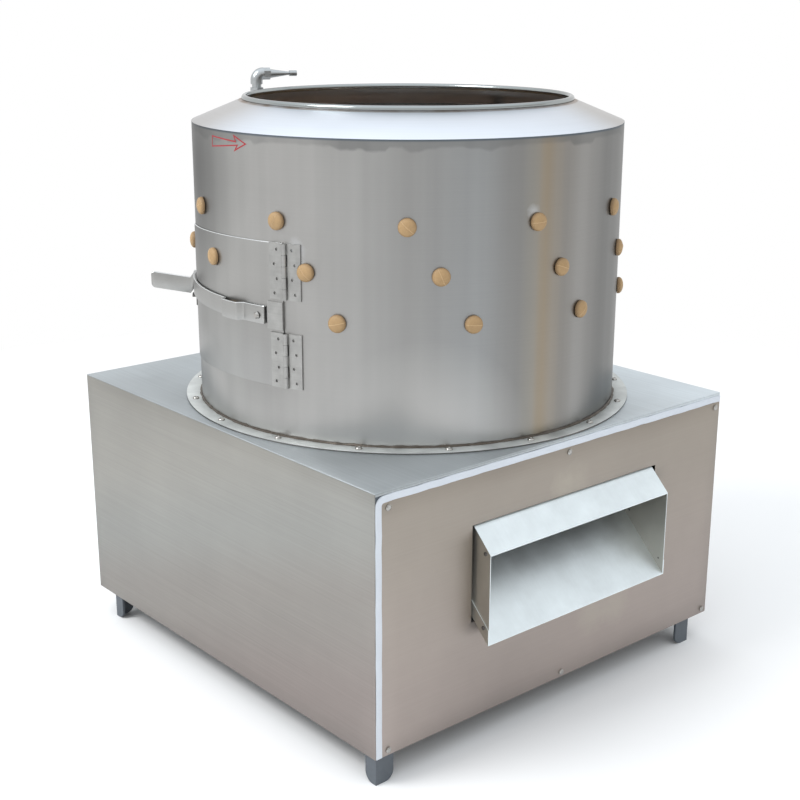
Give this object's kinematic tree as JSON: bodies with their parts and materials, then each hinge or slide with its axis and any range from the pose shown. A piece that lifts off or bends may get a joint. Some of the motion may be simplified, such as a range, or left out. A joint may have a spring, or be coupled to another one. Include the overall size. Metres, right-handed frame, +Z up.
{
  "type": "poultry plucker",
  "caption": "Drum poultry plucker: rubber fingers in a steel drum with a side discharge door, over a belt-driven finger plate in a cabinet with a feather chute.",
  "frame": {"origin": "on the floor under the centre of the cabinet's footprint", "axes": "+Z up along the drum axis, -Y out of the feather chute, -X towards the discharge door"},
  "size_m": [0.71, 0.811, 0.9077],
  "materials": {
    "leg_paint": "satin paint",
    "frame_paint": "satin paint",
    "deck_sheet": "satin",
    "cabinet_sheet": "satin",
    "pan_sheet": "satin",
    "chute_sheet": "satin",
    "drum_sheet": "brushed",
    "cone_sheet": "satin",
    "flange_steel": "satin",
    "rim_steel": "polished",
    "hinge_steel": "satin",
    "latch_steel": "satin",
    "fastener_steel": "satin",
    "water_metal": "satin",
    "shaft_steel": "ground",
    "plate_steel": "satin",
    "cast_parts": "rough",
    "motor_paint": "satin paint",
    "finger_rubber": "matt moulded",
    "belt_rubber": "matt",
    "seal_rubber": "matt",
    "box_plastic": "matt",
    "start_plastic": "gloss",
    "stop_plastic": "gloss",
    "gland_plastic": "matt"
  },
  "bodies": {
    "frame_body": {"leg_front_left": "leg_paint", "leg_front_right": "leg_paint", "leg_rear_left": "leg_paint", "leg_rear_right": "leg_paint", "top_rails": "frame_paint", "bottom_rails": "frame_paint", "drive_beams": "frame_paint", "deck_plate": "deck_sheet", "left_side_panel": "cabinet_sheet", "right_side_panel": "cabinet_sheet", "back_panel": "cabinet_sheet", "back_panel_screws": "fastener_steel", "front_panel": "cabinet_sheet", "panel_seal": "seal_rubber", "front_panel_screws": "fastener_steel", "feather_pan": "pan_sheet", "pan_wall": "pan_sheet", "chute_floor": "chute_sheet", "chute_hood": "chute_sheet", "chute_rivets": "fastener_steel", "drum_shell": "drum_sheet", "base_flange": "flange_steel", "flange_screws": "fastener_steel", "drum_cone": "cone_sheet", "rim_ring": "rim_steel", "drum_fingers": "finger_rubber", "hinge_fixed_leaves": "hinge_steel", "hinge_pins": "hinge_steel", "latch_keeper": "latch_steel", "water_elbow": "water_metal", "inlet_flange": "water_metal", "inlet_nut": "water_metal", "hose_tail": "water_metal", "spray_ring": "water_metal", "spray_clips": "water_metal", "bearing_housing": "cast_parts", "shaft_bearings": "shaft_steel", "drive_bolts": "fastener_steel", "drive_belt": "belt_rubber", "motor_body": "motor_paint", "motor_plate": "frame_paint", "switch_box": "box_plastic", "cable_gland": "gland_plastic"},
    "rotor": {"main_shaft": "shaft_steel", "turning_plate": "plate_steel", "plate_hub": "cast_parts", "plate_fingers": "finger_rubber", "feather_paddles": "plate_steel", "shaft_nut": "fastener_steel", "driven_pulley": "cast_parts"},
    "motor_rotor": {"motor_shaft": "shaft_steel", "motor_pulley": "cast_parts"},
    "door": {"door_panel": "drum_sheet", "door_fingers": "finger_rubber", "hinge_door_leaves": "hinge_steel", "latch_rivet": "fastener_steel", "latch_plate": "hinge_steel"},
    "latch": {"latch_strap": "latch_steel"},
    "start": {"start_button": "start_plastic"},
    "stop": {"stop_button": "stop_plastic"}
  },
  "joints": [
    {"name": "rotor_spin", "type": "hinge", "parent": "frame_body", "child": "rotor", "pos_m": [0.004, -0.02, 0.3], "axis": [0, 0, 1], "continuous": true},
    {"name": "motor_spin", "type": "hinge", "parent": "frame_body", "child": "motor_rotor", "pos_m": [0.179, 0.2, 0.2], "axis": [0, 0, 1], "continuous": true},
    {"name": "door_swing", "type": "hinge", "parent": "frame_body", "child": "door", "pos_m": [-0.30808, -0.12382, 0.5965], "axis": [0, 0, 1], "range_deg": [0, 110]},
    {"name": "latch_lift", "type": "hinge", "parent": "door", "child": "latch", "pos_m": [-0.32089, -0.07787, 0.5935], "axis": [0.9845, 0.1754, 0], "range_deg": [0, 4]},
    {"name": "start_press", "type": "slide", "parent": "frame_body", "child": "start", "axis": [0, -1, 0], "range_m": [0, 0.003], "stiffness_N_per_m": 400},
    {"name": "stop_press", "type": "slide", "parent": "frame_body", "child": "stop", "axis": [0, -1, 0], "range_m": [0, 0.003], "stiffness_N_per_m": 400}
  ],
  "couplings": [
    {"joint": "motor_spin", "follows": "rotor_spin", "ratio": 3.9474}
  ]
}
